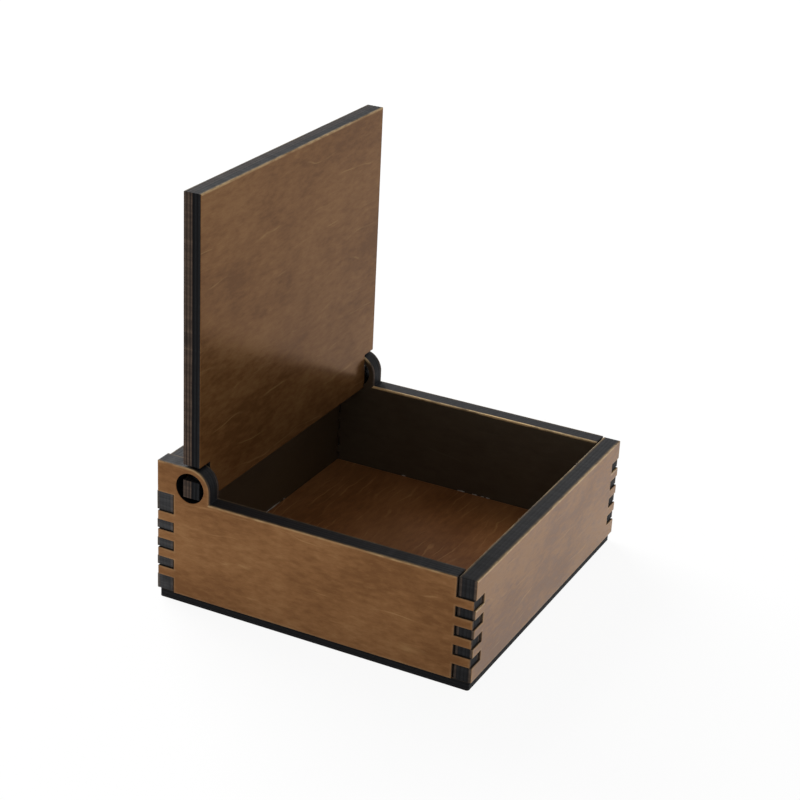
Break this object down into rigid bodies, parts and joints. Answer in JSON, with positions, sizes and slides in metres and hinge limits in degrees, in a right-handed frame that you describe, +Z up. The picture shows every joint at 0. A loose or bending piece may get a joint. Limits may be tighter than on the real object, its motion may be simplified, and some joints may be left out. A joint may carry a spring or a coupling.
{
  "type": "hinged box",
  "caption": "Small stained plywood box with finger-jointed walls, a thin base and an upright lid that turns on square tabs in round holes in the side walls' ears.",
  "frame": {"origin": "centre of the base plate's underside", "axes": "+Z up, -Y towards the front wall, away from the hinge, +X to the right seen from the front"},
  "size_m": [0.1034, 0.1, 0.1239],
  "materials": {
    "base_plywood": "stained, satin",
    "wall_plywood": "stained, satin, charred cut edges",
    "lid_plywood": "stained, satin, charred cut edges"
  },
  "bodies": {
    "box": {"base_plate": "base_plywood", "floor_panel": "base_plywood", "left_side_wall": "wall_plywood", "right_side_wall": "wall_plywood", "front_wall": "wall_plywood", "back_wall": "wall_plywood"},
    "lid": {"lid": "lid_plywood"}
  },
  "joints": [
    {"name": "lid_hinge", "type": "hinge", "parent": "box", "child": "lid", "pos_m": [0, 0.0385, 0.0371], "axis": [1, 0, 0], "range_deg": [-9, 90]}
  ]
}
